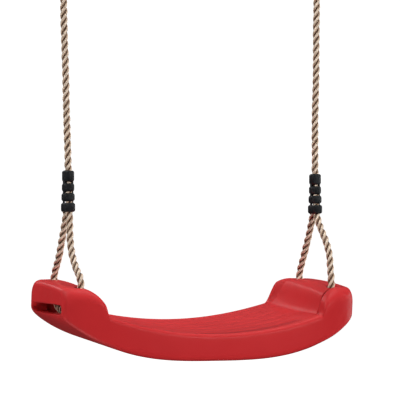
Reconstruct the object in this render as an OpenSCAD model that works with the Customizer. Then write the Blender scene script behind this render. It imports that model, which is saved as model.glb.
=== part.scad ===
// Blow-moulded swing seat hung on two ropes, from its end holes to its top rings.
// X runs along the seat, -Y is the front edge, +Z is up. Units are millimetres.
// The origin is midway between the centres of the two top rings.

/* [Seat] */
// Overall length of the seat along X
seat_length = 424; // [390:1:460]
// Overall depth of the seat, front to back
seat_depth = 179; // [150:1:200]
// Wall thickness of the hollow seat
seat_wall = 3; // [2:0.5:4]
// Forward tilt of the seat as it hangs
seat_tilt = 5.5; // [0:0.5:10]
// Depth of the seat's lowest top line under the end blocks' crown
seat_dish = 61; // [40:1:75]
// Diameter of the rope holes
hole_d = 13; // [12:0.5:16]
// Distance of the rope holes from the middle of the seat
hole_x = 183.5; // [170:0.5:190]
// Half the distance between the front and back rope holes
hole_y = 49; // [40:1:55]

/* [Rope] */
// Rope diameter
rope_d = 10; // [8:1:12]
// Drop from the top clamp to the rope holes
rope_drop = 400; // [300:10:1600]
// Radius of the eye at the top, to the rope's centre line
eye_r = 22; // [20:1:30]

/* [Fittings] */
// Wire diameter of the top rings
ring_wire = 7; // [6:0.5:9]
// Radius of the top rings, to the middle of the wire
ring_r = 22; // [20:1:30]
// Sheet thickness of the thimbles
thimble_wall = 2.4; // [2:0.2:4]
// Height of each rope clamp
clamp_h = 55; // [45:1:70]

/* [Hidden] */
$fn = 48;
gap = 0.3;
sides = [-1, 1];

// colours
red = [0.68, 0.12, 0.13];
tan_rope = [0.66, 0.56, 0.46];
black = [0.1, 0.1, 0.11];
zinc = [0.68, 0.69, 0.7];

// heights, from the ring centres down
thimble_in = eye_r - rope_d / 2 - gap - thimble_wall;
eye_z = -ring_r - (thimble_in - ring_wire / 2 - gap);
eye_drop = 46;
top_clamp_z = eye_z - eye_drop - clamp_h;
mouth_z = top_clamp_z - rope_drop;
low_clamp_z = mouth_z + 92.5;
split = 2.2;

// seat outline, in the seat's own frame with the hole mouths near z = 0;
// half_l and nose_x are where the outline and the ends' profile would close if the ends weren't flat
end_x = seat_length / 2;
half_l = end_x + 12.3;
nose_x = end_x + 9.3;
half_w = seat_depth / 2;
plan_power = 4.2;
sag_r = 511;
block_top = -0.4;
nose = 22;
nose_z = -23;
floor_z = -97.2;
floor_rise = 5.7e-6;
under_nose = 22;
edge_r = 9;
block_edge_r = 18;
under_edge_r = 8;
crown = 2.6;
tilt_z = -62;
seat_shift_y = 2.5;
slot_x = 174;
slot_z = -34.8;
slot_h = 13;
slot_half_y = 53.5;
slot_tilt = -3.7;
pocket_top = -17;
trough_top = -37;
trough_bottom = -47.5;
trough_room = 0.8;

// inner walls of the end blocks: foot, width, power of the shoulder, share of the foot's curve
front_wall = [153, 31, 1.5, 0.22];
back_wall = [149.8, 25.5, 2, 0.34];

function clip(t) = max(0, min(1, t));
function s_step(t) = let (c = clip(t)) c * c * (3 - 2 * c);
function quarter(k, p) = 1 - pow(max(0, 1 - pow(max(0, k), p)), 1 / 2);
function top_sag(x) = -seat_dish + sag_r - sqrt(sag_r * sag_r - x * x);
// how far up its wall the top is; f is 0 at the front edge and 1 at the back
function wall_part(x, f, inset) =
    let (w = front_wall * (1 - f) + back_wall * f, k = clip((x - w[0] - inset) / w[1]))
    pow(1 - pow(1 - k, w[2]), 0.7) * s_step(k / w[3]);
function top_z(x, f, inset) =
    let (s = wall_part(x, f, inset))
    top_sag(x) * (1 - s) + block_top * s - nose * quarter((x - nose_x + nose) / nose, 2) - inset;
function floor_arc(x) = floor_z + floor_rise * x * x * x;
function floor_end(x) = (nose_z - floor_arc(x)) * quarter((x - nose_x + under_nose) / under_nose, 2.6);
function bottom_z(x) = floor_arc(x) + floor_end(x);
function plan_y(x, lim, w) = w * pow(1 - pow(min(x / lim, 1), plan_power), 1 / plan_power);

// one closed section of the seat, inset by the given amount
corner_n = 4;
function arc_pts(cy, cz, r, a0, a1) =
    [for (i = [0 : corner_n]) let (a = a0 + (a1 - a0) * i / corner_n) [cy + r * cos(a), cz + r * sin(a)]];
function section(x, inset) =
    let (ax = abs(x),
         h = plan_y(ax, half_l - inset, half_w - inset),
         zb = bottom_z(ax) + inset,
         t = s_step((ax - 150) / 30),
         dip = crown * t * pow(h / half_w, 2),
         z_back = top_z(ax, 1, inset) - dip,
         z_front = top_z(ax, 0, inset) - dip,
         most_r = min(edge_r * (1 - t) + block_edge_r * t - inset, 0.9 * h),
         r_back = min(most_r, 0.48 * (z_back - zb)),
         r_front = min(most_r, 0.48 * (z_front - zb)),
         rb = min(under_edge_r - inset, 0.9 * h, 0.48 * (min(z_back, z_front) - zb)))
    concat(arc_pts(h - r_back, z_back - r_back, r_back, 0, 90),
           [for (g = [0.5, 0, -0.5]) [g * h, top_z(ax, 0.5 + 0.6 * g, inset) - dip * g * g]],
           arc_pts(r_front - h, z_front - r_front, r_front, 90, 180),
           arc_pts(rb - h, zb + rb, rb, 180, 270),
           arc_pts(h - rb, zb + rb, rb, 270, 360));

// a closed polyhedron through equal rings of points
function ring_faces(m, n) =
    concat([[for (j = [0 : n - 1]) j]],
           [for (i = [0 : m - 2], j = [0 : n - 1])
               let (k = (j + 1) % n) [i * n + j, (i + 1) * n + j, (i + 1) * n + k]],
           [for (i = [0 : m - 2], j = [0 : n - 1])
               let (k = (j + 1) % n) [i * n + j, (i + 1) * n + k, i * n + k]],
           [[for (j = [n - 1 : -1 : 0]) (m - 1) * n + j]]);

station_n = 34;
function station(u, lim) = lim * (0.5 * sin(90 * u) + 0.5 * u);

module seat_body(inset) {
    lim = end_x - inset;
    rows = [for (i = [-station_n : station_n])
               let (x = station(i / station_n, lim)) [for (p = section(x, inset)) [x, p[0], p[1]]]];
    n = len(rows[0]);
    polyhedron([for (r = rows) each r], ring_faces(len(rows), n), convexity = 6);
}

module in_seat() {
    translate([0, seat_shift_y, mouth_z + tilt_z])
        rotate([seat_tilt, 0, 0])
            translate([0, 0, -tilt_z])
                children();
}

module rope_hole(s, f, r, z0) {
    translate([s * hole_x, f * hole_y, z0])
        cylinder(r = r, h = 10 - z0);
}

// a slot across each end, under the band that the rope is looped round
module end_slot(s, grow) {
    slot_l = end_x - slot_x + 10 + grow;
    translate([s * (slot_x - grow + slot_l / 2) - slot_l / 2, 0, slot_z])
        rotate([slot_tilt, 0, 0])
            rotate([0, 90, 0])
                oval(slot_h / 2 + grow, slot_half_y + grow, slot_l);
}

// room for the rope's bends under the holes, and for its run between them
module rope_trough(s, grow) {
    run_y = hole_y + hole_d / 2 + trough_room + grow;
    bend_y = 25 - grow;
    w = hole_d + 2 * (trough_room + grow);
    translate([s * hole_x - w / 2, -run_y, trough_bottom - grow])
        cube([w, 2 * run_y, trough_top - trough_bottom + 2 * grow]);
    for (f = sides)
        translate([s * hole_x - w / 2, f * (run_y + bend_y) / 2 - (run_y - bend_y) / 2, trough_top - 1])
            cube([w, run_y - bend_y, pocket_top - trough_top + 1 + grow]);
}

module rope_ways(grow) {
    for (s = sides) {
        end_slot(s, grow);
        rope_trough(s, grow);
        for (f = sides)
            rope_hole(s, f, hole_d / 2 + grow, trough_top + 4);
    }
}

module seat() {
    blow_hole_d = 6;
    blow_hole_y = 25;
    color(red)
        in_seat()
            difference() {
                seat_body(0);
                difference() {
                    seat_body(seat_wall);
                    rope_ways(seat_wall);
                }
                rope_ways(0);
                translate([0, blow_hole_y, floor_z - 5])
                    cylinder(d = blow_hole_d, h = 15);
            }
}

// a rope is a round tube swept through a smooth line of points
tube_n = 10;
smooth_n = 3;
function unit(v) = v / norm(v);
function blend4(a, b, c, d, t) =
    0.5 * (2 * b + (c - a) * t + (2 * a - 5 * b + 4 * c - d) * t * t
           + (3 * b - a - 3 * c + d) * t * t * t);
function smooth(p) =
    let (m = len(p) - 1, q = concat([2 * p[0] - p[1]], p, [2 * p[m] - p[m - 1]]))
    concat([for (i = [1 : m], k = [0 : smooth_n - 1])
               blend4(q[i - 1], q[i], q[i + 1], q[i + 2], k / smooth_n)], [p[m]]);
function along(p, i) = unit(p[min(i + 1, len(p) - 1)] - p[max(i - 1, 0)]);
function hoop(c, t, r) =
    let (a = unit([1, 0, 0] - t[0] * t), b = cross(t, a))
    [for (j = [0 : tube_n - 1]) c + r * (cos(360 * j / tube_n) * a + sin(360 * j / tube_n) * b)];

module tube(points) {
    p = smooth(points);
    polyhedron([for (i = [0 : len(p) - 1]) each hoop(p[i], along(p, i), rope_d / 2)],
               [for (f = ring_faces(len(p), tube_n)) [for (k = [len(f) - 1 : -1 : 0]) f[k]]],
               convexity = 8);
}

// rope lines, with x measured outwards and z from the hole mouths
top_x = 188.3;
clamp_x = 183;
clamp_y = -4;
main_line = [[top_x, 0, rope_drop - split], [187.4, 0.3, 345], [186, -1.8, 285], [184.4, -1.6, 225],
             [183.4, -3.6, 175], [clamp_x, clamp_y, 148], [clamp_x, clamp_y, 122],
             [clamp_x, -5.4, 109], [clamp_x, -9, 93]];
left_front = [[183.2, -10.5, 74], [183.5, -14, 52], [183.6, -22, 34], [183.5, -35, 18],
              [183.5, -48.5, 6], [183.5, -52, -3.9]];
left_back = [[clamp_x, 2.9, 99.5], [clamp_x, 2.8, 92], [183.1, 6, 81], [183.3, 15.5, 60], [183.4, 28, 34],
             [183.5, 41.5, 15], [183.5, 45.5, 5.5]];
right_front = [[183.2, -18, 76], [184, -33, 57], [184.4, -44, 38], [184, -48, 20],
               [183.5, -51.2, 6], [183.5, -52, -3.9]];
right_back = [[clamp_x, 2.9, 99.5], [clamp_x, 3, 92], [183.1, 7.8, 79], [183.3, 19, 57], [183.4, 32, 34],
              [183.5, 43, 15], [183.5, 45.5, 5.5]];

module rope_legs(s, front, back) {
    translate([0, 0, mouth_z])
        for (line = [concat(main_line, front), back])
            tube([for (p = line) [s * p[0], p[1], p[2]]]);
}

module left_rope() {
    color(tan_rope)
        rope_legs(-1, left_front, left_back);
}

module right_rope() {
    color(tan_rope)
        rope_legs(1, right_front, right_back);
}

// the loop through the seat, in the seat's own frame
bight_half = [[49, -2], [49, -11], [47.5, -19.5], [42.5, -28], [33.5, -34.8], [20.5, -39]];
bight_line = concat([for (p = bight_half) [-p[0], p[1]]], [[0, -40.6]],
                    [for (i = [len(bight_half) - 1 : -1 : 0]) bight_half[i]]);

module rope_bight(s) {
    color(tan_rope)
        in_seat()
            tube([for (p = bight_line) [s * hole_x, p[0], p[1]]]);
}

module left_bight() {
    rope_bight(-1);
}

module right_bight() {
    rope_bight(1);
}

// the eye at the top, from the clamp round the thimble and back
eye_turn = 20;
eye_arc = [for (a = [-eye_turn : 20 : 180 + eye_turn]) [-eye_r * cos(a), eye_r * sin(a)]];
eye_foot = [[0, 0.1 - eye_drop - clamp_h], [0, -82], [-1.2, -68], [-3.9, -54], [-5.8, -45], [-9, -35],
            [-14.5, -22]];
eye_tail = [[14.5, -22], [9.6, -35], [7.2, -45], [6.9, -53]];

module rope_eye(s) {
    color(tan_rope)
        translate([s * top_x, 0, eye_z])
            tube([for (p = concat(eye_foot, eye_arc, eye_tail)) [0, p[0], p[1]]]);
}

module left_eye() {
    rope_eye(-1);
}

module right_eye() {
    rope_eye(1);
}

// ribs of a rope clamp: [bottom, top, half width along X, half width along Y]
rib_rows = [[0, 11.6, 7.7, 12.6], [14.6, 24.4, 8, 10], [27.4, 37.4, 7.7, 8.9], [40.2, clamp_h, 7.8, 8.6]];

module oval(hx, hy, h) {
    linear_extrude(h)
        union() {
            translate([0, hy - hx])
                circle(r = hx);
            translate([0, hx - hy])
                circle(r = hx);
            square([2 * hx, 2 * (hy - hx)], center = true);
        }
}

// the two thin posts that join the ribs, one on each side of the rope
module rib_posts() {
    post_t = 1.8;
    post_w = 4;
    post_x = 6.4;
    for (s = sides)
        translate([s * (post_x - post_t / 2), 0, clamp_h / 2])
            cube([post_t, post_w, clamp_h - 2], center = true);
}

// room for both strands at the wide end, and for one strand above it
module clamp_channel() {
    bore_r = rope_d / 2 + 0.4;
    translate([0, 0, -1])
        oval(bore_r, 12, 9.2);
    translate([0, -1.7, 7])
        oval(bore_r, bore_r + 1.9, 18);
    cylinder(r = bore_r, h = clamp_h + 1);
}

module rope_clamp() {
    color(black)
        difference() {
            union() {
                for (r = rib_rows)
                    translate([0, 0, r[0]])
                        oval(r[2], r[3], r[1] - r[0]);
                rib_posts();
            }
            clamp_channel();
        }
}

module left_lower_clamp() {
    translate([-clamp_x, clamp_y, low_clamp_z])
        rope_clamp();
}

module right_lower_clamp() {
    translate([clamp_x, clamp_y, low_clamp_z])
        rope_clamp();
}

module upper_clamp(s) {
    translate([s * top_x, 0, top_clamp_z + clamp_h])
        mirror([0, 0, 1])
            rope_clamp();
}

module left_upper_clamp() {
    upper_clamp(-1);
}

module right_upper_clamp() {
    upper_clamp(1);
}

// grooved thimble that lines the eye
module thimble(s) {
    groove_r = rope_d / 2 + gap;
    color(zinc)
        translate([s * top_x, 0, eye_z])
            rotate([0, 90, 0])
                rotate_extrude()
                    translate([eye_r, 0])
                        difference() {
                            circle(r = groove_r + thimble_wall);
                            circle(r = groove_r);
                            translate([-1, -20])
                                square([20, 40]);
                        }
}

module left_thimble() {
    thimble(-1);
}

module right_thimble() {
    thimble(1);
}

module top_ring(s) {
    color(zinc)
        translate([s * top_x, 0, 0])
            rotate([90, 0, 0])
                rotate_extrude()
                    translate([ring_r, 0])
                        circle(d = ring_wire);
}

module left_ring() {
    top_ring(-1);
}

module right_ring() {
    top_ring(1);
}

seat();
left_bight();
right_bight();
left_rope();
right_rope();
left_lower_clamp();
right_lower_clamp();
left_upper_clamp();
right_upper_clamp();
left_eye();
right_eye();
left_thimble();
right_thimble();
left_ring();
right_ring();
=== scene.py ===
import math

import bpy
import numpy as np
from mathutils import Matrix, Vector


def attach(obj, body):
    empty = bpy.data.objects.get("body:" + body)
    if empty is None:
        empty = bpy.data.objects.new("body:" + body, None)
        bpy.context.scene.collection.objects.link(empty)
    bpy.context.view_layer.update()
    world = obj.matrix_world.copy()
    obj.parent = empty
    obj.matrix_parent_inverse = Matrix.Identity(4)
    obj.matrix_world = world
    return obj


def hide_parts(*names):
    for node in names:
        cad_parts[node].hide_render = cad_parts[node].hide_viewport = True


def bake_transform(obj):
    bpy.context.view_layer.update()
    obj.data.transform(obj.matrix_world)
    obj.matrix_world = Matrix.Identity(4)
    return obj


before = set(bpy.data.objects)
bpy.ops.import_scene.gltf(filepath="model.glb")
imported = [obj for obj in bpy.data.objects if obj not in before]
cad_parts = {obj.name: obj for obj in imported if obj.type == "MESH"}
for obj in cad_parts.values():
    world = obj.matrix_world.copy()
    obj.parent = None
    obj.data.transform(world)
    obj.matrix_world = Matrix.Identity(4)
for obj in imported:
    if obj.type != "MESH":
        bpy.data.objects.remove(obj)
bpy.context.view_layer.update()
scene = bpy.context.scene

MM = 0.001
SIDES = (("left", -1), ("right", 1))

# heights in the row frame, in metres
MOUTH = -0.5335  # mouths of the rope holes
TOP_CLAMP = -0.1335  # lower end of the upper clamps
LOW_CLAMP = -0.441  # lower end of the lower clamps
LOW_CLAMP_X = 0.183
LOW_CLAMP_Y = -0.004
EYE = -0.0325  # middle of the rope eyes
CLAMP_H = 55.0

# the seat's own frame: tilted forward, in millimetres, with the hole mouths near z = 0
TILT = math.radians(5.5)
TILT_Z = -62.0
SHIFT_Y = 2.5
HOLE_X = 183.5
HOLE_Y = 49.0


def seat_to_row(p):
    """Points of the seat's frame in millimetres, as metres in the row frame."""
    p = np.atleast_2d(np.asarray(p, float))
    c, s = math.cos(TILT), math.sin(TILT)
    y = p[:, 1] * c - (p[:, 2] - TILT_Z) * s + SHIFT_Y
    z = p[:, 1] * s + (p[:, 2] - TILT_Z) * c + TILT_Z
    return np.stack([p[:, 0] * MM, y * MM, z * MM + MOUTH], 1)


# ---------------------------------------------------------------- camera
CAM_TURN = math.radians(24.1)
CAM_DISTANCE = 3.5
CAM_Z = MOUTH + 0.038
CAM_RIGHT = 0.00271
CAM_UP = 0.02058


def make_camera():
    forward = Vector((math.sin(CAM_TURN), math.cos(CAM_TURN), 0))
    right = Vector((math.cos(CAM_TURN), -math.sin(CAM_TURN), 0))
    up = Vector((0, 0, 1))
    data = bpy.data.cameras.new("camera")
    data.lens = 232.6
    data.sensor_width = 36
    data.clip_end = 60
    camera = bpy.data.objects.new("camera", data)
    camera.location = -CAM_DISTANCE * forward + CAM_Z * up
    look = forward + CAM_RIGHT * right + CAM_UP * up
    camera.rotation_euler = look.to_track_quat("-Z", "Y").to_euler()
    scene.collection.objects.link(camera)
    scene.camera = camera


make_camera()


# ---------------------------------------------------------------- mesh helpers
def add_object(name, verts, faces, uvs=None, sharp=None):
    """A mesh object with smooth shading. uvs is one (u, v) for each corner of each face."""
    mesh = bpy.data.meshes.new(name)
    mesh.from_pydata([tuple(v) for v in verts], [], [tuple(f) for f in faces])
    if uvs is not None:
        layer = mesh.uv_layers.new(name="lay")
        layer.data.foreach_set("uv", np.asarray(uvs, np.float32).ravel())
    mesh.validate()
    mesh.shade_smooth()
    if sharp:
        mesh.set_sharp_from_angle(angle=math.radians(sharp))
    obj = bpy.data.objects.new(name, mesh)
    scene.collection.objects.link(obj)
    return obj


def grid_faces(rows, cols, closed_rows=False):
    """Faces between rows of points that are closed across, as (row, column) indexes."""
    faces = []
    for i in range(rows if closed_rows else rows - 1):
        a, b = i * cols, ((i + 1) % rows) * cols
        for j in range(cols):
            k = (j + 1) % cols
            faces.append((a + j, b + j, b + k, a + k))
    return faces


def set_material(obj, material):
    obj.data.materials.clear()
    obj.data.materials.append(material)


# ---------------------------------------------------------------- node helpers
class Nodes:
    """Short calls for building one material's node tree."""

    def __init__(self, name):
        self.material = bpy.data.materials.new(name)
        self.material.use_nodes = True
        self.tree = self.material.node_tree
        self.shader = self.tree.nodes["Principled BSDF"]

    def add(self, kind, links=None, **values):
        node = self.tree.nodes.new("ShaderNode" + kind)
        for key, value in values.items():
            setattr(node, key, value)
        for socket, source in (links or {}).items():
            self.put(node.inputs[socket], source)
        return node

    def put(self, socket, source):
        if isinstance(source, (int, float, tuple)):
            socket.default_value = source
        else:
            self.tree.links.new(source, socket)

    def math(self, operation, a, b=0.0, c=0.0):
        node = self.add("Math", operation=operation)
        for socket, source in zip(node.inputs, (a, b, c)):
            self.put(socket, source)
        return node.outputs[0]

    def ramp(self, factor, stops):
        node = self.add("ValToRGB", {"Fac": factor})
        elements = node.color_ramp.elements
        while len(elements) < len(stops):
            elements.new(0.5)
        for element, (position, colour) in zip(elements, stops):
            element.position = position
            element.color = colour if len(colour) == 4 else (*colour, 1)
        return node.outputs["Color"]

    def noise(self, vector, scale, detail=2.0, roughness=0.5):
        links = {"Vector": vector, "Scale": scale, "Detail": detail, "Roughness": roughness}
        return self.add("TexNoise", links).outputs["Fac"]

    def mix(self, factor, a, b, blend="MIX"):
        node = self.add("Mix", data_type="RGBA", blend_type=blend)
        for index, source in ((0, factor), (6, a), (7, b)):
            self.put(node.inputs[index], source)
        return node.outputs[2]

    def bump(self, height, distance, strength=1.0, normal=None):
        links = {"Height": height, "Distance": distance, "Strength": strength}
        if normal is not None:
            links["Normal"] = normal
        return self.add("Bump", links).outputs["Normal"]

    def object_point(self):
        return self.add("TexCoord").outputs["Object"]


def rgb(r, g, b):
    """An sRGB colour of 0 to 255 as linear, with alpha."""
    def line(c):
        c /= 255
        return c / 12.92 if c <= 0.04045 else ((c + 0.055) / 1.055) ** 2.4
    return (line(r), line(g), line(b), 1.0)


# ---------------------------------------------------------------- materials
def seat_material():
    n = Nodes("red_moulded_plastic")
    point = n.object_point()
    cloud = n.noise(point, 7.0, 3.0)
    colour = n.ramp(cloud, [(0.3, rgb(190, 41, 44)), (0.7, rgb(200, 46, 49))])
    # convex edges lighter red: edge wear together with a painted highlight
    edge = n.add("NewGeometry").outputs["Pointiness"]
    edge_wear_and_highlight = n.math("MULTIPLY", n.math("SUBTRACT", edge, 0.5), 3.0)
    edge_wear_and_highlight.node.use_clamp = True
    colour = n.mix(edge_wear_and_highlight, colour, rgb(216, 60, 58))
    # painted shade: the seat turns darker red behind the front rim and in the groove up the walls
    painted_shade = n.add("Attribute", attribute_name="painted_shade").outputs["Fac"]
    colour = n.mix(painted_shade, colour, rgb(112, 14, 20))
    # painted highlight: lighter red along the rubbed lower front edge of the ends
    worn_edge_highlight = n.add("Attribute", attribute_name="worn_edge_highlight").outputs["Fac"]
    colour = n.mix(worn_edge_highlight, colour, rgb(226, 92, 92))
    n.put(n.shader.inputs["Base Color"], colour)
    smear = n.noise(point, 38.0, 4.0)
    rough = n.add("MapRange", {"Value": smear, "From Min": 0.3, "From Max": 0.7,
                               "To Min": 0.3, "To Max": 0.4})
    n.put(n.shader.inputs["Roughness"], rough.outputs["Result"])
    grain = n.noise(point, 1400.0, 2.0)
    ripple = n.noise(point, 60.0, 2.0)
    normal = n.bump(ripple, 0.0006, 0.25)
    n.put(n.shader.inputs["Normal"], n.bump(grain, 0.00012, 0.5, normal))
    n.shader.inputs["Specular IOR Level"].default_value = 0.22
    return n.material


LAY = 0.033  # length of one turn of a strand
YARNS = 5


def rope_material():
    """u is metres along the rope and v is the turn round it, following the strands."""
    n = Nodes("laid_polyhemp")
    split = n.add("SeparateXYZ", {"Vector": n.add("UVMap", uv_map="lay").outputs["UV"]})
    along, turn = split.outputs["X"], split.outputs["Y"]
    across = n.math("FRACT", n.math("MULTIPLY", turn, 3.0))
    from_middle = n.math("ABSOLUTE", n.math("SUBTRACT", across, 0.5))
    # painted light: each strand is lighter on its crest, and darker in the grooves between strands as
    # painted shade
    painted_crest_light = n.math("SUBTRACT", 1.0, n.math("MULTIPLY", from_middle, 2.0))
    # yarns lie across each strand at a slant
    phase = n.math("ADD", n.math("MULTIPLY", across, YARNS), n.math("MULTIPLY", along, 260.0))
    yarn = n.math("MULTIPLY_ADD", n.math("SINE", n.math("MULTIPLY", phase, 2 * math.pi)), 0.5, 0.5)
    fibre_point = n.add("CombineXYZ", {"X": n.math("MULTIPLY", along, 120.0),
                                       "Y": n.math("MULTIPLY", phase, 1.6), "Z": turn})
    fibre = n.noise(fibre_point.outputs[0], 3.0, 4.0, 0.6)
    tone = n.math("MULTIPLY_ADD", n.math("SUBTRACT", fibre, 0.5), 0.55, painted_crest_light)
    tone = n.math("MULTIPLY_ADD", n.math("SUBTRACT", yarn, 0.5), 0.16, tone)
    # the ramp's dark end is painted shade in the grooves and its light end a painted highlight on the
    # crests; the fibre and yarn marks are the rope's own tone
    colour = n.ramp(tone, [(0.0, rgb(60, 40, 28)), (0.25, rgb(128, 98, 76)),
                           (0.5, rgb(206, 176, 152)), (0.85, rgb(246, 228, 210))])
    patches = n.noise(n.object_point(), 30.0, 2.0)
    colour = n.mix(n.math("MULTIPLY", patches, 0.35), colour, rgb(166, 148, 98), "MULTIPLY")
    n.put(n.shader.inputs["Base Color"], colour)
    rough = n.math("MULTIPLY_ADD", fibre, 0.2, 0.55)
    n.put(n.shader.inputs["Roughness"], rough)
    height = n.math("MULTIPLY_ADD", fibre, 0.6, yarn)
    n.put(n.shader.inputs["Normal"], n.bump(height, 0.00045, 0.8))
    n.shader.inputs["Sheen Weight"].default_value = 0.15
    n.shader.inputs["Sheen Roughness"].default_value = 0.5
    return n.material


def clamp_material():
    n = Nodes("black_moulded_plastic")
    point = n.object_point()
    cloud = n.noise(point, 120.0, 3.0)
    colour = n.ramp(cloud, [(0.3, rgb(24, 25, 27)), (0.75, rgb(44, 46, 48))])
    n.put(n.shader.inputs["Base Color"], colour)
    rough = n.math("MULTIPLY_ADD", cloud, 0.25, 0.32)
    n.put(n.shader.inputs["Roughness"], rough)
    n.put(n.shader.inputs["Normal"], n.bump(n.noise(point, 1500.0, 2.0), 0.0001, 0.6))
    return n.material


def zinc_material():
    n = Nodes("galvanised_steel")
    point = n.object_point()
    cell = n.add("TexVoronoi", {"Vector": point, "Scale": 260.0}).outputs["Color"]
    grain = n.add("SeparateColor", {"Color": cell}).outputs[0]
    dull = n.noise(point, 90.0, 4.0, 0.6)
    tone = n.math("MULTIPLY_ADD", n.math("SUBTRACT", grain, 0.5), 0.3, dull)
    colour = n.ramp(tone, [(0.3, rgb(128, 131, 136)), (0.7, rgb(196, 198, 201))])
    n.put(n.shader.inputs["Base Color"], colour)
    n.shader.inputs["Metallic"].default_value = 1.0
    n.put(n.shader.inputs["Roughness"], n.math("MULTIPLY_ADD", dull, 0.3, 0.24))
    n.put(n.shader.inputs["Normal"], n.bump(n.noise(point, 500.0, 3.0), 0.00012, 0.6))
    return n.material


SEAT_RED = seat_material()
ROPE_TAN = rope_material()
CLAMP_BLACK = clamp_material()
ZINC = zinc_material()


# ---------------------------------------------------------------- ropes
STRAND_R = 2.45
STRAND_OUT = 2.55
STEP = 0.0016
STRAND_POINTS = 14

# the rope's route in millimetres, X outwards and Z up from the hole mouths, from the upper clamp down
MAIN_LINE = [(188.3, 0, 403), (188.2, 0, 397.8), (187.4, 0.3, 345), (186, -1.8, 285),
             (184.4, -1.6, 225), (183.4, -3.6, 175), (183, -4, 148), (183, -4, 122),
             (183, -5.4, 109), (183, -9, 93)]
FRONT_LEG = {
    -1: [(183.2, -10.5, 74), (183.5, -14, 52), (183.6, -22, 34), (183.5, -35, 18), (183.5, -48.5, 6)],
    1: [(183.2, -18, 76), (184, -33, 57), (184.4, -44, 38), (184, -48, 20), (183.5, -51.2, 6)],
}
BACK_LEG = {
    -1: [(183, 2.9, 99.5), (183, 2.8, 92), (183.1, 6, 81), (183.3, 15.5, 60), (183.4, 28, 34),
         (183.5, 41.5, 15), (183.5, 45.5, 5.5)],
    1: [(183, 2.9, 99.5), (183, 3, 92), (183.1, 7.8, 79), (183.3, 19, 57), (183.4, 32, 34),
        (183.5, 43, 15), (183.5, 45.5, 5.5)],
}
# inside the seat: (y, z) in the seat's frame, from one hole to the middle of the channel
BIGHT_HALF = [(49, -2), (49, -11), (47.5, -19.5), (42.5, -28), (33.5, -34.8), (20.5, -39)]
BIGHT_MIDDLE = (0, -40.6)
EYE_R = 22.0
EYE_FOOT = [(0, -100.9), (0, -82), (-1.2, -68), (-3.9, -54), (-5.8, -45), (-9, -35),
            (-14.5, -22)]
EYE_TAIL = [(14.5, -22), (9.6, -35), (7.2, -45), (6.9, -53)]
EYE_X = 188.3


def smooth_line(points, step):
    """A smooth curve through points, resampled at an even step. Both in metres."""
    p = np.asarray(points, float)
    q = np.vstack([2 * p[0] - p[1], p, 2 * p[-1] - p[-2]])
    t = np.linspace(0, 1, 24, endpoint=False)[:, None]
    fine = []
    for i in range(1, len(p)):
        a, b, c, d = q[i - 1], q[i], q[i + 1], q[i + 2]
        fine.append(0.5 * (2 * b + (c - a) * t + (2 * a - 5 * b + 4 * c - d) * t**2
                           + (3 * b - a - 3 * c + d) * t**3))
    fine = np.vstack(fine + [p[-1:]])
    run = np.concatenate([[0], np.cumsum(np.linalg.norm(np.diff(fine, axis=0), axis=1))])
    count = int(round(run[-1] / step)) + 1
    even = np.linspace(0, run[-1], count)
    line = np.stack([np.interp(even, run, fine[:, k]) for k in range(3)], 1)
    return line, even


def side_frames(line):
    """Tangents and a first side vector along the line that doesn't spin about it."""
    tangent = np.gradient(line, axis=0)
    tangent /= np.linalg.norm(tangent, axis=1)[:, None]
    start = np.cross(tangent[0], (0.0, 1.0, 0.2))
    side = [start / np.linalg.norm(start)]
    for t in tangent[1:]:
        s = side[-1] - t * np.dot(side[-1], t)
        side.append(s / np.linalg.norm(s))
    side = np.array(side)
    return tangent, side, np.cross(tangent, side)


def strand_outline():
    """The outline of three strands laid together: (angle, radius in metres)."""
    out = []
    for strand in range(3):
        for k in range(STRAND_POINTS):
            a = (k / STRAND_POINTS - 0.5) * 2 * math.pi / 3
            r = STRAND_OUT * math.cos(a) + math.sqrt(STRAND_R**2 - (STRAND_OUT * math.sin(a)) ** 2)
            out.append((strand * 2 * math.pi / 3 + a, r * MM))
    return np.array(out)


def laid_rope(name, points):
    """A three-strand rope as one closed mesh, and the points of its middle line."""
    line, run = smooth_line(points, STEP)
    tangent, side, other = side_frames(line)
    outline = strand_outline()
    rows, cols = len(line), len(outline)
    angle = outline[None, :, 0] + 2 * math.pi * run[:, None] / LAY
    wobble = 1 + 0.02 * np.sin(run * 310) + 0.012 * np.sin(run * 123 + 1)
    radius = outline[None, :, 1] * wobble[:, None] * np.ones((rows, 1))
    verts = (line[:, None, :] + (radius * np.cos(angle))[..., None] * side[:, None, :]
             + (radius * np.sin(angle))[..., None] * other[:, None, :]).reshape(-1, 3)
    faces, uvs = [], []
    for i in range(rows - 1):
        for j in range(cols):
            k = (j + 1) % cols
            faces.append((i * cols + j, i * cols + k, (i + 1) * cols + k, (i + 1) * cols + j))
            u0, u1, v0, v1 = run[i], run[i + 1], j / cols, (j + 1) / cols
            uvs += [(u0, v0), (u0, v1), (u1, v1), (u1, v0)]
    verts = np.vstack([verts, line[0], line[-1]])
    for centre, row in ((rows * cols, 0), (rows * cols + 1, rows - 1)):
        for j in range(cols):
            k = (j + 1) % cols
            a, b = row * cols + j, row * cols + k
            faces.append((centre, b, a) if row == 0 else (centre, a, b))
            uvs += [(run[row], 0.17)] * 3
    obj = add_object(name, verts, faces, uvs)
    set_material(obj, ROPE_TAN)
    return obj, line, run[-1]


def side_rope_points(side):
    """The rope of one side, from the upper clamp through the seat and back to the lower clamp."""
    row = [(side * x * MM, y * MM, z * MM + MOUTH) for x, y, z in MAIN_LINE + FRONT_LEG[side]]
    loop = [(-y, z) for y, z in BIGHT_HALF] + [BIGHT_MIDDLE] + BIGHT_HALF[::-1]
    loop = seat_to_row([(side * HOLE_X, y, z) for y, z in loop])
    back = [(side * x * MM, y * MM, z * MM + MOUTH) for x, y, z in BACK_LEG[side][::-1]]
    return row + [tuple(p) for p in loop] + back


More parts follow.
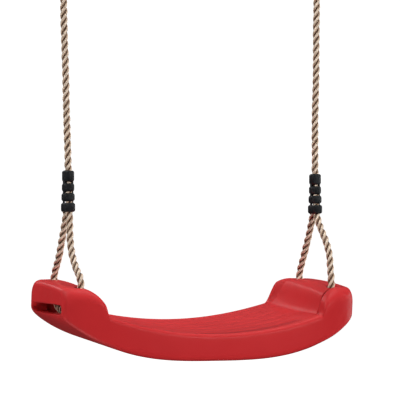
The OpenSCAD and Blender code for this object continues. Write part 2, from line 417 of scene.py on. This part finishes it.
def eye_points(side):
    arc = [math.radians(a) for a in range(-20, 201, 20)]
    loop = EYE_FOOT + [(-EYE_R * math.cos(a), EYE_R * math.sin(a)) for a in arc] + EYE_TAIL
    return [(side * EYE_X * MM, y * MM, z * MM + EYE) for y, z in loop]


# ---------------------------------------------------------------- clamps
# ribs of a rope clamp: bottom, top, half widths along X and Y, hole half widths along X and Y,
# and the middle of the hole along Y
RIBS = [(0, 12.2, 7.7, 12.6, 5.2, 11.2, 0), (14.2, 25.0, 8.0, 10.3, 5.2, 7.2, -1.6),
        (27.0, 38.0, 7.8, 9.2, 5.0, 6.0, -0.6), (40.0, 55, 7.8, 8.7, 5.0, 5.0, 0)]
RIB_ROUND = 3.0
HOLE_IN = 0.25  # how far inside the rib's ends the edges of its hole lie
POST_X = 6.0
POST_Z = (2.0, 20.0, 36.0, 52.0)


def stadium(hx, hy, count=64):
    """Points round an oval of two half circles joined by straight sides along Y."""
    out = []
    quarter = count // 4
    for k in range(count):
        a = 2 * math.pi * (k + 0.5) / count
        x, y = hx * math.cos(a), hx * math.sin(a)
        out.append((x, y + (hy - hx) * (1 if (k // quarter) in (0, 1) else -1)))
    return np.array(out)


def rib_mesh(z0, z1, hx, hy, ix, iy, my):
    """One rounded rib with a hole through it."""
    rows = []
    r = RIB_ROUND
    turns = [math.radians(a) for a in range(0, 91, 15)]
    low = [(r * (1 - math.sin(a)), z0 + r * (1 - math.cos(a))) for a in turns]
    high = [(r * (1 - math.cos(a)), z1 - r * (1 - math.sin(a))) for a in turns]
    for inset, z in low + high:
        ring = stadium(hx - inset, hy - inset)
        rows.append(np.column_stack([ring, np.full(len(ring), z)]))
    for z in (z1 - HOLE_IN, z0 + HOLE_IN):
        ring = stadium(ix, max(iy, ix)) + (0, my)
        rows.append(np.column_stack([ring, np.full(len(ring), z)]))
    cols = len(rows[0])
    return np.vstack(rows), [f[::-1] for f in grid_faces(len(rows), cols, closed_rows=True)]


def post_mesh(side):
    """A thin post with rounded long edges that joins the ribs on one side."""
    outline = []
    hx, hy, r = 1.0, 2.2, 0.7
    for cx, cy, a0 in ((1, 1, 0), (-1, 1, 90), (-1, -1, 180), (1, -1, 270)):
        for k in range(4):
            a = math.radians(a0 + 30 * k)
            outline.append((cx * (hx - r) + r * math.cos(a) + side * POST_X,
                            cy * (hy - r) + r * math.sin(a)))
    rows = [np.column_stack([outline, np.full(len(outline), z)]) for z in POST_Z]
    cols = len(outline)
    faces = [f[::-1] for f in grid_faces(len(rows), cols)]
    faces.append(tuple(range(cols - 1, -1, -1)))
    faces.append(tuple(range((len(rows) - 1) * cols, len(rows) * cols)))
    return np.vstack(rows), faces


def make_clamp(name, place, upside_down):
    verts, faces = [], []
    for part in [rib_mesh(*rib) for rib in RIBS] + [post_mesh(-1), post_mesh(1)]:
        base = sum(len(v) for v in verts)
        verts.append(part[0])
        faces += [tuple(base + i for i in f) for f in part[1]]
    v = np.vstack(verts)
    if upside_down:
        v = v * (1, -1, -1) + (0, 0, CLAMP_H)
    obj = add_object(name, v * MM + np.array(place), faces, sharp=50)
    set_material(obj, CLAMP_BLACK)
    return obj


# ---------------------------------------------------------------- rings and thimbles
RING_R = 22.0
WIRE_R = 3.5
WELD_TURN = math.radians(250)
THIMBLE_INNER = 5.3
THIMBLE_WALL = 2.4


def make_ring(name, x):
    """A welded ring of round wire, with the weld as a low swelling."""
    rows, cols = 96, 24
    verts = []
    for i in range(rows):
        a = 2 * math.pi * i / rows
        gap = (a - WELD_TURN + math.pi) % (2 * math.pi) - math.pi
        bead, neck = 0.045 * math.exp(-((gap / 0.07) ** 2)), 0.03 * math.exp(-((gap / 0.13) ** 2))
        wire = WIRE_R * (1 + bead - neck)
        for j in range(cols):
            b = 2 * math.pi * j / cols
            out = RING_R + wire * math.cos(b)
            verts.append((x + out * math.cos(a), wire * math.sin(b), out * math.sin(a)))
    obj = add_object(name, np.array(verts) * MM, grid_faces(rows, cols, closed_rows=True))
    set_material(obj, ZINC)
    return obj


def make_thimble(name, x):
    """A round thimble: a half pipe turned about the eye, with rolled lips."""
    inner = THIMBLE_INNER
    outer = inner + THIMBLE_WALL
    profile = []
    for k in range(25):
        a = math.radians(90 + 180 * k / 24)
        profile.append((outer * math.sin(a), outer * math.cos(a)))
    lip = THIMBLE_WALL / 2
    for k in range(1, 6):
        a = math.radians(-180 + 180 * k / 6)
        profile.append((-(inner + lip) - lip * math.cos(a), -lip * math.sin(a)))
    for k in range(25):
        a = math.radians(270 - 180 * k / 24)
        profile.append((inner * math.sin(a), inner * math.cos(a)))
    for k in range(1, 6):
        a = math.radians(180 * k / 6)
        profile.append(((inner + lip) - lip * math.cos(a), lip * math.sin(a)))
    rows, cols = 96, len(profile)
    verts = []
    for i in range(rows):
        t = 2 * math.pi * i / rows
        for px, pr in profile:
            out = EYE_R + pr
            verts.append((x + px, out * math.cos(t), out * math.sin(t) + EYE / MM))
    obj = add_object(name, np.array(verts) * MM, grid_faces(rows, cols, closed_rows=True), sharp=45)
    set_material(obj, ZINC)
    return obj


# ---------------------------------------------------------------- seat
END_X = 212.0
HALF_L = 224.3
NOSE_X = 221.3
HALF_W = 89.5
PLAN_POWER = 4.2
SAG_R = 511.0
DISH = 61.0
BLOCK_TOP = -0.4
NOSE = 22.0
NOSE_Z = -23.0
EDGE_R = 6.0
BLOCK_EDGE_R = 18.0
UNDER_EDGE_R = 8.0
UNDER_END_R = 4.5
CROWN = 2.6
FLOOR_Z = -97.2
FLOOR_RISE = 5.7e-6
# inner wall of the end blocks: foot, width, power of the shoulder's curve and share of the foot's curve
FRONT_WALL = np.array([153.0, 31.0, 1.5, 0.22])
BACK_WALL = np.array([145.0, 32.0, 1.7, 0.55])
WALL_Y = 75.0
# the pan: its step down, its dish, and how much it moves and softens the foot of the walls
PAN_DEPTH = 1.2
PAN_DISH = 2.0
PAN_INTO = 1.4
PAN_TOE = 0.2
# the groove round the pan, which is deep only at the front
CREASE_DEPTH = 3.4
CREASE_INTO = 5.0
CREASE_HALF = 2.6
BACK_CREASE_HALF = 4.8
BACK_CREASE_OUT = 5.0
END_ROUND = 4.0
CREASE = 5.0  # the outline has close points this far to each side of the groove round the pan
GROOVES = (-50.0, -25.0, 0.0, 25.0, 50.0)
GROOVE_DEPTH = 0.75
GROOVE_WIDTH = 2.0
# how far the groove round the pan is from the middle, along the seat
CREASE_X = (0, 110, 150, 165, 174, 230)
CREASE_Y = (76, 76, 68, 60, 57, 57)
# painted shade along the front of the pan: wide behind the rim and narrow in the groove up the walls
PAINTED_SHADE_X = (0, 130, 152, 178, 182)
PAINTED_SHADE_WIDTH = (9.0, 9.0, 2.4, 2.4, 2.4)
PAINTED_SHADE_SHIFT = (11.0, 11.0, 0.0, 0.0, 0.0)
PAINTED_SHADE_AMOUNT = (0.4, 0.4, 0.75, 0.75, 0.0)
# the painted shade stays on the top: a parabola along the seat, this far under the pan, parts it from
# the underside
PAINTED_SHADE_RISE = 0.0016
PAINTED_SHADE_BELOW = 12.0
# a rubbed lower front edge of the ends, lightened as a painted highlight where the edge catches the
# light
WORN_EDGE_HIGHLIGHT_START = 135.0
WORN_EDGE_HIGHLIGHT_RUN = 30.0
WORN_EDGE_HIGHLIGHT_WIDTH = 2.4
WORN_EDGE_HIGHLIGHT_AMOUNT = 0.9


def s_step(t):
    t = np.clip(t, 0, 1)
    return t * t * (3 - 2 * t)


def quarter(k, power):
    return 1 - math.sqrt(max(0.0, 1 - max(0.0, k) ** power))


def sag(x):
    return -DISH + SAG_R - math.sqrt(SAG_R**2 - x * x)


def nose_drop(x):
    return NOSE * quarter((x - NOSE_X + NOSE) / NOSE, 2)


def top_z(x, y, into=0.0, crease=0.0):
    """Height of the top at x and y; into is 1 on the pan and crease is 1 in the groove round it."""
    f = np.clip((y / WALL_Y + 1) / 2, 0, 1)
    foot, width, power, toe = (a * (1 - f) + b * f for a, b in zip(FRONT_WALL, BACK_WALL))
    foot = foot + PAN_INTO * into + CREASE_INTO * crease
    k = np.clip((x - foot) / width, 0, 1)
    s = (1 - (1 - k) ** power) ** 0.7 * s_step(k / (toe + PAN_TOE * into))
    low = sag(x) - into * (PAN_DEPTH + PAN_DISH * (1 - (y / WALL_Y) ** 2)) - CREASE_DEPTH * crease
    return low * (1 - s) + BLOCK_TOP * s - nose_drop(x)


def floor_z(x):
    arc = FLOOR_Z + FLOOR_RISE * x**3
    return arc + (NOSE_Z - arc) * quarter((x - NOSE_X + NOSE) / NOSE, 2.6)


def plan_y(x, inset):
    return (HALF_W - inset) * (1 - min(x / (HALF_L - inset), 1) ** PLAN_POWER) ** (1 / PLAN_POWER)


def crease_y(x):
    return float(np.interp(x, CREASE_X, CREASE_Y))


def groove_depth(x, y):
    """Shallow moulded grooves along the pan, which fade out before the walls."""
    fade = 1 - s_step((x - 125) / 18)
    return GROOVE_DEPTH * fade * sum(np.exp(-(((y - g) / GROOVE_WIDTH) ** 2)) for g in GROOVES)


def arc(cy, cz, r, a0, a1, count):
    a = np.radians(np.linspace(a0, a1, count))
    return np.column_stack([cy + r * np.cos(a), cz + r * np.sin(a)])


def seat_section(x, inset):
    """The closed outline of the seat at x, as (y, z), anticlockwise from the back side."""
    ax = abs(x)
    h = plan_y(ax, inset)
    low = floor_z(ax) + inset
    t = float(s_step((ax - 150) / 30))
    dip = CROWN * t * (h / HALF_W) ** 2
    edges = []
    for back in (1, -1):
        top = float(top_z(ax, back * h)) - inset - dip
        room = 0.48 * (top - low)
        edges.append((top, min(EDGE_R * (1 - t) + BLOCK_EDGE_R * t - inset, 0.9 * h, room)))
    (top_b, rt_b), (top_f, rt_f) = edges
    under_r = UNDER_EDGE_R * (1 - t) + UNDER_END_R * t - inset
    rb = min(under_r, 0.9 * h, 0.48 * (min(top_b, top_f) - low))
    yc_b = min(crease_y(ax) + BACK_CREASE_OUT, h - rt_b - 1.1 * CREASE)
    yc_f = min(crease_y(ax), h - rt_f - 1.1 * CREASE)
    halves = []
    for flat, yc in ((h - rt_b, yc_b), (h - rt_f, yc_f)):
        halves.append(np.concatenate([
            np.linspace(flat, yc + CREASE, 5), np.linspace(yc + CREASE, yc - CREASE, 17)[1:],
            np.linspace(yc - CREASE, 0, 51)[1:],
        ]))
    y = np.concatenate([halves[0], -halves[1][-2::-1]])
    off = (np.abs(y) - np.where(y > 0, yc_b, yc_f)) / np.where(y > 0, BACK_CREASE_HALF, CREASE_HALF)
    into = s_step((1 - off) / 2)
    groove = np.exp(-2.2 * off**2) * np.where(y > 0, 0, 1)
    z = top_z(ax, y, into, groove) - inset - groove_depth(ax, y)
    z = z - dip * (y / np.where(y > 0, h - rt_b, h - rt_f)) ** 2
    side_b, side_f = (np.linspace(low + rb, top - rt, 6)[1:-1] for top, rt in edges)
    under = np.linspace(rb - h, h - rb, 25)[1:-1]
    return np.vstack([
        arc(h - rt_b, z[0] - rt_b, rt_b, 0, 90, 9), np.column_stack([y, z])[1:-1],
        arc(rt_f - h, z[-1] - rt_f, rt_f, 90, 180, 9), np.column_stack([np.full(4, -h), side_f[::-1]]),
        arc(rb - h, low + rb, rb, 180, 270, 9), np.column_stack([under, np.full(23, low)]),
        arc(h - rb, low + rb, rb, 270, 360, 9), np.column_stack([np.full(4, h), side_b]),
    ])


def seat_stations():
    """(x, inset) of every section from one end to the other, with rounded ends."""
    flat_x = END_X - END_ROUND
    half = np.concatenate([np.linspace(0, 110, 29), np.linspace(110, 140, 13)[1:],
                           np.linspace(140, 200, 61)[1:], np.linspace(200, flat_x, 11)[1:]])
    turn = np.radians(np.linspace(0, 90, 8))[1:]
    end = [(flat_x + END_ROUND * math.sin(a), END_ROUND * (1 - math.cos(a))) for a in turn]
    end.append((END_X, END_ROUND + 0.8))
    half = [(x, 0.0) for x in half] + end
    return [(-x, i) for x, i in half[:0:-1]] + half


def loft(name, rows):
    """A closed body through rows of points, each an array of (x, y, z) in millimetres."""
    cols = len(rows[0])
    faces = [f[::-1] for f in grid_faces(len(rows), cols)]
    faces.append(tuple(range(cols)))
    faces.append(tuple(range(len(rows) * cols - 1, (len(rows) - 1) * cols - 1, -1)))
    return add_object(name, seat_to_row(np.vstack(rows)), faces)


def at_x(x, outline):
    return np.column_stack([np.full(len(outline), x), outline])


SLOT_Z = -34.8
SLOT_TILT = -0.065
SLOT_H = 6.5
SLOT_Y = 53.5
SLOT_IN = 174.0
SLOT_ROUND = 1.6
SLOT_FLARE = 1.7
PAST_END = 4.0
HOLE_R = 6.5
HOLE_FOOT = -36.0
MOUTH_ROUND = 3.0
MOUTH_Z = -2.3
# the channel under the holes of one block, and the pocket that joins each hole to it
CHANNEL_X = 7.3
CHANNEL_Y = 56.3
CHANNEL_Z = (-47.5, -37)
POCKET_Y = 25
POCKET_Z = (-38, -17)
# blowing hole underneath: place along Y, radius, and the heights it is cut between
BLOW_Y = 25
BLOW_R = 3.0
BLOW_Z = (-102, -87)


def end_slot(side):
    """The slot across one end, flared where it opens."""
    rows = []
    for x in (SLOT_IN, 190.0, END_X - SLOT_ROUND):
        rows.append((x, 0.0))
    for a in (15, 30, 45, 60):
        a = math.radians(a)
        rows.append((END_X - SLOT_ROUND + SLOT_ROUND * math.sin(a), SLOT_ROUND * (1 - math.cos(a))))
    last = rows[-1]
    past = END_X + PAST_END
    rows.append((past, last[1] + (past - last[0]) * SLOT_FLARE))
    out = []
    for x, grow in rows:
        oval = stadium(SLOT_H + grow, SLOT_Y + grow)[::-1]
        height = oval[:, 0] + SLOT_Z + SLOT_TILT * oval[:, 1]
        out.append(at_x(side * x, np.column_stack([oval[:, 1], height])))
    return loft("cut_slot", out if side > 0 else out[::-1])


def box_cut(x0, x1, y0, y1, z0, z1):
    outline = np.array([(y1, z0), (y1, z1), (y0, z1), (y0, z0)])
    return loft("cut_box", [at_x(x0, outline), at_x(x1, outline)])


def round_cut(x, y, rows):
    """A turned cutter about a vertical axis, through rows of (z, radius)."""
    out = []
    a = 2 * np.pi * np.arange(48) / 48
    for z, r in rows:
        out.append(np.column_stack([x + r * np.cos(a), y + r * np.sin(a), np.full(48, z)]))
    return loft("cut_round", out)


def rope_cutters():
    cuts = []
    for _, side in SIDES:
        cuts.append(end_slot(side))
        x0, x1 = sorted((side * (HOLE_X - CHANNEL_X), side * (HOLE_X + CHANNEL_X)))
        cuts.append(box_cut(x0, x1, -CHANNEL_Y, CHANNEL_Y, *CHANNEL_Z))
        for front in (-1, 1):
            y0, y1 = sorted((front * POCKET_Y, front * CHANNEL_Y))
            cuts.append(box_cut(x0, x1, y0, y1, *POCKET_Z))
            rows = [(HOLE_FOOT, HOLE_R), (MOUTH_Z - MOUTH_ROUND, HOLE_R)]
            for a in (math.radians(t) for t in (15, 30, 45, 60)):
                rows.append((MOUTH_Z - MOUTH_ROUND * (1 - math.sin(a)),
                             HOLE_R + MOUTH_ROUND * (1 - math.cos(a))))
            rows.append((rows[-1][0] + 3, rows[-1][1] + 5.2))
            cuts.append(round_cut(side * HOLE_X, front * HOLE_Y, rows))
    cuts.append(round_cut(0, BLOW_Y, [(z, BLOW_R) for z in BLOW_Z]))
    return cuts


def cut_away(obj, cuts):
    """Takes the cutters, which overlap, out of the object, and removes them."""
    group = bpy.data.collections.new("cutters")
    scene.collection.children.link(group)
    for c in cuts:
        group.objects.link(c)
    m = obj.modifiers.new("cut", "BOOLEAN")
    m.operation = "DIFFERENCE"
    m.solver = "EXACT"
    m.operand_type = "COLLECTION"
    m.collection = group
    m.use_self = True
    depsgraph = bpy.context.evaluated_depsgraph_get()
    mesh = bpy.data.meshes.new_from_object(obj.evaluated_get(depsgraph))
    obj.modifiers.clear()
    obj.data = mesh
    for c in cuts:
        bpy.data.objects.remove(c)
    bpy.data.collections.remove(group)


def add_painted_shade_and_edge_highlight(obj):
    """Marks painted shade behind the front rim and in the groove up the walls, and a painted highlight
    on the rubbed lower front edge of the ends.
    """
    origin = np.array([0, SHIFT_Y, TILT_Z + MOUTH / MM])
    points = np.array([v.co for v in obj.data.vertices]) / MM - origin
    c, s = math.cos(TILT), math.sin(TILT)
    x = np.abs(points[:, 0])
    y = points[:, 1] * c + points[:, 2] * s
    z = points[:, 2] * c - points[:, 1] * s + TILT_Z
    inner = np.interp(x, CREASE_X, CREASE_Y)
    width = np.interp(x, PAINTED_SHADE_X, PAINTED_SHADE_WIDTH)
    shift = np.interp(x, PAINTED_SHADE_X, PAINTED_SHADE_SHIFT)
    # painted shade: a darker band behind the front rim and in the groove round the pan
    painted_shade = np.interp(x, PAINTED_SHADE_X, PAINTED_SHADE_AMOUNT) * np.exp(-(((y + inner - shift) / width) ** 2))
    painted_shade = np.where(z > PAINTED_SHADE_RISE * x**2 - DISH - PAINTED_SHADE_BELOW, painted_shade, 0.0)
    edge = np.array([(plan_y(a, 0), floor_z(a)) for a in np.minimum(x, END_X)])
    gap = np.hypot(y + edge[:, 0], z - edge[:, 1])
    # painted highlight on the rubbed lower front edge of the ends
    worn_edge_highlight = WORN_EDGE_HIGHLIGHT_AMOUNT * s_step((x - WORN_EDGE_HIGHLIGHT_START) / WORN_EDGE_HIGHLIGHT_RUN) * np.exp(-((gap / WORN_EDGE_HIGHLIGHT_WIDTH) ** 2))
    for name, values in (("painted_shade", painted_shade), ("worn_edge_highlight", worn_edge_highlight)):
        layer = obj.data.attributes.new(name, "FLOAT", "POINT")
        layer.data.foreach_set("value", values.astype(np.float32))


def make_seat():
    rows = [at_x(x, seat_section(x, inset)) for x, inset in seat_stations()]
    seat = loft("seat_shell", rows)
    cut_away(seat, rope_cutters())
    add_painted_shade_and_edge_highlight(seat)
    seat.data.shade_smooth()
    seat.data.set_sharp_from_angle(angle=math.radians(35))
    set_material(seat, SEAT_RED)
    return seat


# ---------------------------------------------------------------- the object
for side_name, side in SIDES:
    line_body = side_name + "_line"
    low_place = (side * LOW_CLAMP_X, LOW_CLAMP_Y, LOW_CLAMP)
    low_clamp = make_clamp(side_name + "_clamp_low", low_place, False)
    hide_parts(side_name + "_lower_clamp")
    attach(low_clamp, line_body)
    top_clamp = make_clamp(side_name + "_clamp_top", (side * EYE_X * MM, 0, TOP_CLAMP), True)
    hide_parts(side_name + "_upper_clamp")
    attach(top_clamp, "rope_eyes")

    rope, line, length = laid_rope(side_name + "_rope_run", side_rope_points(side))
    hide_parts(side_name + "_rope", side_name + "_bight")
    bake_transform(rope)

    eye, line, length = laid_rope(side_name + "_rope_eye", eye_points(side))
    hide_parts(side_name + "_eye")
    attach(eye, "rope_eyes")

    thimble = make_thimble(side_name + "_eye_thimble", side * EYE_X)
    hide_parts(side_name + "_thimble")
    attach(thimble, "rope_eyes")
    ring = make_ring(side_name + "_top_ring", side * EYE_X)
    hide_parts(side_name + "_ring")
    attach(ring, "hanger")

seat = make_seat()
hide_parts("seat")
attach(seat, "seat_body")


# ---------------------------------------------------------------- studio
def pale_material(name, strength):
    n = Nodes(name)
    n.shader.inputs["Base Color"].default_value = (0.9, 0.9, 0.9, 1)
    n.shader.inputs["Roughness"].default_value = 0.9
    n.shader.inputs["Emission Color"].default_value = (1, 1, 1, 1)
    n.shader.inputs["Emission Strength"].default_value = strength
    return n.material


def make_stage():
    """A plain pale floor and a plain white surround, which the camera sees and which light nothing."""
    count, r = 96, 14.0
    turn = [2 * math.pi * k / count for k in range(count)]
    ring = [(r * math.cos(a), r * math.sin(a), -1.15) for a in turn]
    floor = add_object("floor", ring, [tuple(range(count))])
    set_material(floor, pale_material("pale_floor", 1.0))
    rows = []
    for k in range(9):
        b = math.radians(-20 + 12 * k)
        out, up = r * math.cos(b), r * math.sin(b)
        rows += [(out * math.cos(a), out * math.sin(a), up) for a in turn]
    faces = grid_faces(9, count) + [tuple(range(8 * count, 9 * count))]
    surround = add_object("surround", rows, faces)
    set_material(surround, pale_material("white_surround", 1.0))
    for obj in (floor, surround):
        obj.visible_diffuse = False
        obj.visible_glossy = False
        obj.visible_shadow = False
        obj.visible_transmission = False


def make_world():
    """White from above, and nearly dark from below, so that faces seen at a slant keep their colour."""
    world = bpy.data.worlds.new("studio")
    world.use_nodes = True
    tree = world.node_tree
    background = tree.nodes["Background"]
    background.inputs["Color"].default_value = (1, 1, 1, 1)
    direction = tree.nodes.new("ShaderNodeTexCoord")
    parts = tree.nodes.new("ShaderNodeSeparateXYZ")
    strength = tree.nodes.new("ShaderNodeMapRange")
    for socket, value in (("From Min", 0.2), ("From Max", 1.0), ("To Min", 0.03), ("To Max", 0.3)):
        strength.inputs[socket].default_value = value
    tree.links.new(direction.outputs["Generated"], parts.inputs["Vector"])
    tree.links.new(parts.outputs["Z"], strength.inputs["Value"])
    tree.links.new(strength.outputs["Result"], background.inputs["Strength"])
    scene.world = world


def area_light(name, place, aim, width, height, power, gloss=True):
    data = bpy.data.lights.new(name, "AREA")
    data.shape = "RECTANGLE"
    data.size = width
    data.size_y = height
    data.energy = power
    light = bpy.data.objects.new(name, data)
    light.location = place
    light.rotation_euler = (Vector(aim) - Vector(place)).to_track_quat("-Z", "Y").to_euler()
    light.visible_camera = False
    light.visible_glossy = gloss
    scene.collection.objects.link(light)


make_stage()
make_world()
middle = (0, 0, -0.56)
area_light("top", (0.1, 0.1, 1.0), middle, 1.4, 1.2, 16, gloss=False)
area_light("front_right", (1.4, -2.6, 0.0), middle, 1.2, 1.4, 70, gloss=False)
area_light("back_left", (-1.7, 0.6, 0.9), middle, 1.0, 1.2, 28, gloss=False)
area_light("into_slot", (-2.0, -0.9, -0.4), middle, 0.6, 0.3, 7, gloss=False)
area_light("low_left", (-0.9, -0.3, -2.1), middle, 1.2, 1.0, 14, gloss=False)
area_light("top_gloss", (0.5, 0.1, 1.2), middle, 0.9, 0.7, 1.4)
area_light("back_gloss", (-0.7, 2.1, 0.75), middle, 0.9, 0.3, 2.8)
area_light("right_gloss", (2.2, 0.2, -0.35), middle, 0.5, 1.2, 6)
scene.view_settings.view_transform = "Standard"
